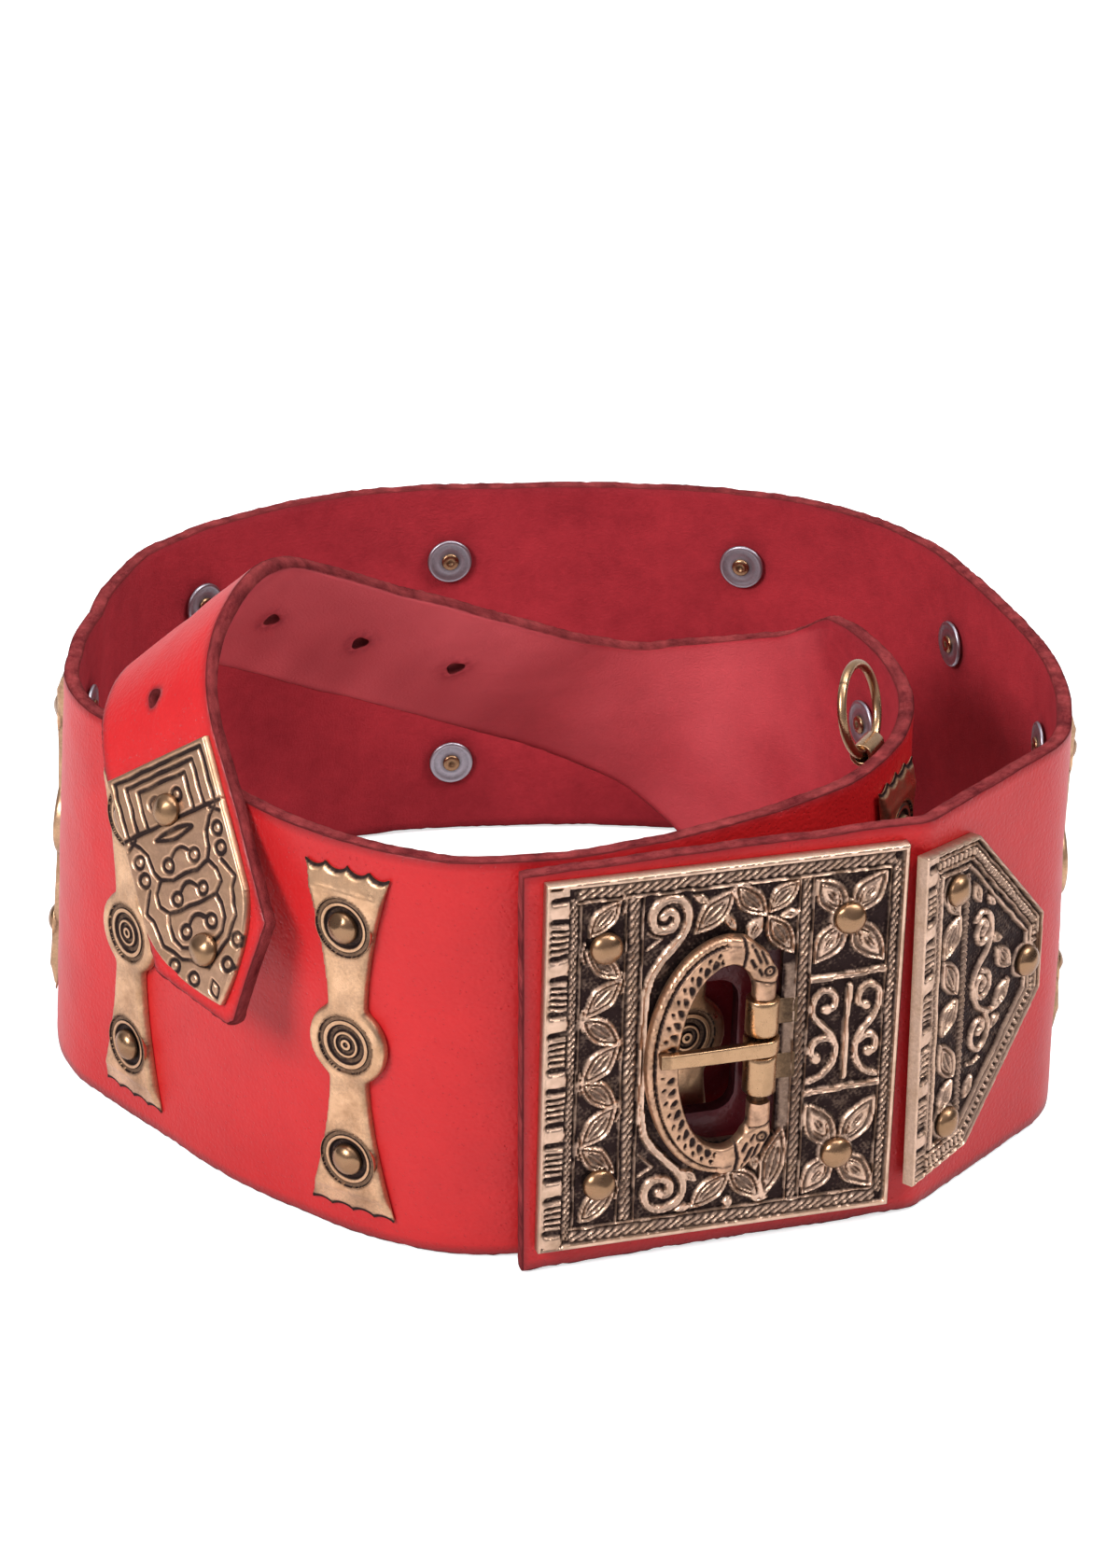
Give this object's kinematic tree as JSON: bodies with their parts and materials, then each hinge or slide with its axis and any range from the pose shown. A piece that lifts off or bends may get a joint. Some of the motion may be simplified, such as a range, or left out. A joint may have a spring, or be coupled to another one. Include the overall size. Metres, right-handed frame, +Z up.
{
  "type": "roman military belt",
  "caption": "Wide red leather belt laid down coiled, with a carved brass buckle plate, counter plate, cross stiffeners, a pointed strap end and a hanging ring.",
  "frame": {"origin": "on the belt's lower edge, in the middle of its thickness, under the middle of the buckle", "axes": "+Z up across the band, +X along the belt at the buckle towards the counter plate, +Y from the buckle into the waist"},
  "size_m": [0.243, 0.2402, 0.1347],
  "materials": {
    "leather": "matte",
    "cast_brass": "worn cast",
    "polished_brass": "satin",
    "pin_brass": "satin",
    "washer_steel": "satin"
  },
  "bodies": {
    "belt": {"belt_leather": "leather", "buckle_plate": "cast_brass", "hinge_sleeve_upper": "polished_brass", "hinge_sleeve_lower": "polished_brass", "counter_plate": "cast_brass", "plate_rivets": "pin_brass", "plate_washers": "washer_steel", "counter_rivets": "pin_brass", "counter_washers": "washer_steel", "stiffener_1": "polished_brass", "stiffener_2": "polished_brass", "stiffener_3": "polished_brass", "stiffener_4": "polished_brass", "stiffener_5": "polished_brass", "stiffener_6": "polished_brass", "stiffener_7": "polished_brass", "stiffener_8": "polished_brass", "stiffener_9": "polished_brass", "stiffener_10": "polished_brass", "stiffener_11": "polished_brass", "stiffener_rivets": "pin_brass", "stiffener_washers": "washer_steel", "strap_end": "polished_brass", "strap_end_rivets": "pin_brass", "strap_end_washers": "washer_steel", "ring_clip": "polished_brass"},
    "ring": {"buckle_ring": "polished_brass", "hinge_bar": "pin_brass"},
    "tongue": {"tongue": "polished_brass"},
    "hanging_ring": {"suspension_ring": "polished_brass"}
  },
  "joints": [
    {"name": "ring_swing", "type": "hinge", "parent": "belt", "child": "ring", "pos_m": [0.0082, -0.00635, 0.05083], "axis": [0.0209, 0, 0.9998], "range_deg": [0, 90]},
    {"name": "tongue_swing", "type": "hinge", "parent": "ring", "child": "tongue", "pos_m": [0.0082, -0.00635, 0.05083], "axis": [0.0209, 0, 0.9998], "range_deg": [0, 55]},
    {"name": "hanging_ring_swing", "type": "hinge", "parent": "belt", "child": "hanging_ring", "pos_m": [0.04976, 0.04001, 0.0985], "axis": [-0.6593, -0.7518, 0], "range_deg": [-50, 160]}
  ]
}
